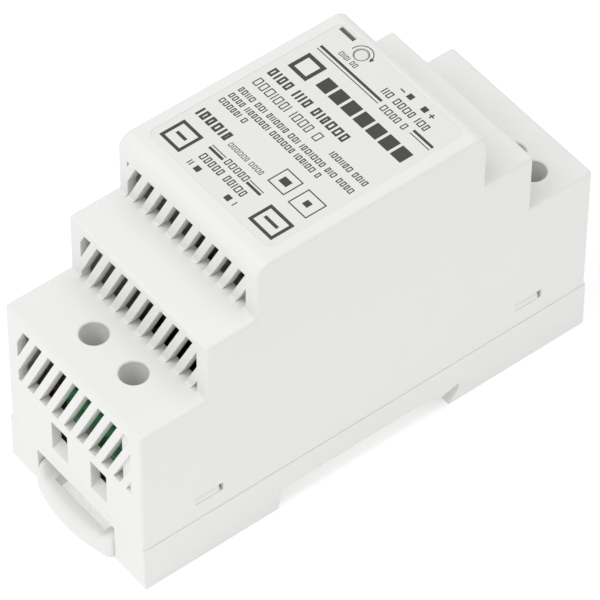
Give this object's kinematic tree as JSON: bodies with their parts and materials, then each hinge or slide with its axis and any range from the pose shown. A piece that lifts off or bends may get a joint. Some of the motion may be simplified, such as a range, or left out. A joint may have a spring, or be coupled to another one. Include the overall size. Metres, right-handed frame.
{
  "type": "din rail power supply",
  "caption": "Narrow stepped DIN rail power supply: snap-together vented housing, screw terminals at both ends, sprung rail clip and a converter board inside.",
  "frame": {"origin": "centre of the mounting rail's front face, the plane on which the housing's ridges rest", "axes": "+X along the rail, +Y up the mounted device from the mains end with the clip to the output end, +Z out of the rail towards the front label"},
  "size_m": [0.035, 0.0925, 0.0598],
  "materials": {
    "housing": "fine satin moulded thermoplastic",
    "clip": "satin moulded thermoplastic",
    "label": "printed polyester film",
    "light_pipe": "smoked clear moulding",
    "led": "tinted epoxy",
    "spring_steel": "drawn wire",
    "circuit_board": "solder-masked glass epoxy",
    "insulation": "clear polyester sheet",
    "terminal_green": "moulded polyamide",
    "tinned_contact": "tinned",
    "plated_steel": "zinc plated",
    "black_plastic": "moulded phenolic",
    "fuse_brown": "moulded",
    "varistor_blue": "dipped epoxy coat",
    "thermistor_green": "dipped coat",
    "film_yellow": "moulded box",
    "ferrite": "sintered, matt",
    "copper": "enamelled copper wire",
    "tape_yellow": "polyester tape over copper wire",
    "can_sleeve": "aluminium can in a plastic sleeve",
    "heatsink": "sheet aluminium",
    "trimmer_blue": "moulded",
    "rotor_white": "moulded"
  },
  "bodies": {
    "housing": {"front_cover": "housing", "rear_base": "housing", "rail_clip_spring": "spring_steel", "front_label": "label", "indicator_led": "led", "light_pipe": "light_pipe", "voltage_trimmer_body": "trimmer_blue", "main_board": "circuit_board", "insulation_sheet": "insulation", "control_board": "circuit_board", "controller_chip": "black_plastic", "ac_terminal_housing": "terminal_green", "dc_terminal_housing": "terminal_green", "input_fuse": "fuse_brown", "surge_varistor": "varistor_blue", "inrush_thermistor": "thermistor_green", "suppression_capacitor": "film_yellow", "choke_core_lower": "ferrite", "choke_core_upper": "ferrite", "choke_bobbin": "black_plastic", "choke_winding": "copper", "bulk_capacitor": "can_sleeve", "bridge_rectifier": "black_plastic", "transformer_core_lower": "ferrite", "transformer_core_upper": "ferrite", "transformer_bobbin": "black_plastic", "transformer_winding": "tape_yellow", "primary_heatsink": "heatsink", "switching_transistor": "black_plastic", "secondary_heatsink": "heatsink", "output_rectifier": "black_plastic", "output_capacitor_left": "can_sleeve", "output_capacitor_right": "can_sleeve", "safety_capacitor": "varistor_blue", "optocoupler": "black_plastic", "output_inductor_core": "ferrite", "output_inductor_winding": "copper", "ac_contact_line": "tinned_contact", "ac_contact_neutral": "tinned_contact", "dc_contact_plus": "tinned_contact", "dc_contact_minus": "tinned_contact"},
    "rail_clip": {"rail_clip": "clip"},
    "voltage_trimmer": {"voltage_trimmer_rotor": "rotor_white"},
    "ac_screw_line": {"ac_screw_line": "plated_steel"},
    "ac_clamp_line": {"ac_clamp_line": "plated_steel"},
    "ac_screw_neutral": {"ac_screw_neutral": "plated_steel"},
    "ac_clamp_neutral": {"ac_clamp_neutral": "plated_steel"},
    "dc_screw_plus": {"dc_screw_plus": "plated_steel"},
    "dc_clamp_plus": {"dc_clamp_plus": "plated_steel"},
    "dc_screw_minus": {"dc_screw_minus": "plated_steel"},
    "dc_clamp_minus": {"dc_clamp_minus": "plated_steel"}
  },
  "joints": [
    {"name": "rail_clip_slide", "type": "slide", "parent": "housing", "child": "rail_clip", "axis": [0, -1, 0], "range_m": [0, 0.0035], "stiffness_N_per_m": 4000, "springref_m": -0.002, "deforming": ["rail_clip_spring"]},
    {"name": "voltage_trimmer_turn", "type": "hinge", "parent": "housing", "child": "voltage_trimmer", "pos_m": [-0.00784, 0.01784, 0.0517], "axis": [0, 0, 1], "range_deg": [-135, 135]},
    {"name": "ac_screw_line_turn", "type": "hinge", "parent": "housing", "child": "ac_screw_line", "pos_m": [0.00601, -0.0376, 0.0185], "axis": [0, 0, -1], "range_deg": [0, 1980]},
    {"name": "ac_clamp_line_lift", "type": "slide", "parent": "housing", "child": "ac_clamp_line", "axis": [0, 0, 1], "range_m": [0, 0.00247]},
    {"name": "ac_screw_neutral_turn", "type": "hinge", "parent": "housing", "child": "ac_screw_neutral", "pos_m": [-0.00415, -0.0376, 0.0185], "axis": [0, 0, -1], "range_deg": [0, 1980]},
    {"name": "ac_clamp_neutral_lift", "type": "slide", "parent": "housing", "child": "ac_clamp_neutral", "axis": [0, 0, 1], "range_m": [0, 0.00247]},
    {"name": "dc_screw_plus_turn", "type": "hinge", "parent": "housing", "child": "dc_screw_plus", "pos_m": [0.01154, 0.0376, 0.0185], "axis": [0, 0, -1], "range_deg": [0, 1980]},
    {"name": "dc_clamp_plus_lift", "type": "slide", "parent": "housing", "child": "dc_clamp_plus", "axis": [0, 0, 1], "range_m": [0, 0.00247]},
    {"name": "dc_screw_minus_turn", "type": "hinge", "parent": "housing", "child": "dc_screw_minus", "pos_m": [0.00646, 0.0376, 0.0185], "axis": [0, 0, -1], "range_deg": [0, 1980]},
    {"name": "dc_clamp_minus_lift", "type": "slide", "parent": "housing", "child": "dc_clamp_minus", "axis": [0, 0, 1], "range_m": [0, 0.00247]}
  ],
  "couplings": [
    {"joint": "ac_screw_line_turn", "follows": "ac_clamp_line_lift", "rad_per_m": 13963},
    {"joint": "ac_screw_neutral_turn", "follows": "ac_clamp_neutral_lift", "rad_per_m": 13963},
    {"joint": "dc_screw_plus_turn", "follows": "dc_clamp_plus_lift", "rad_per_m": 13963},
    {"joint": "dc_screw_minus_turn", "follows": "dc_clamp_minus_lift", "rad_per_m": 13963}
  ]
}
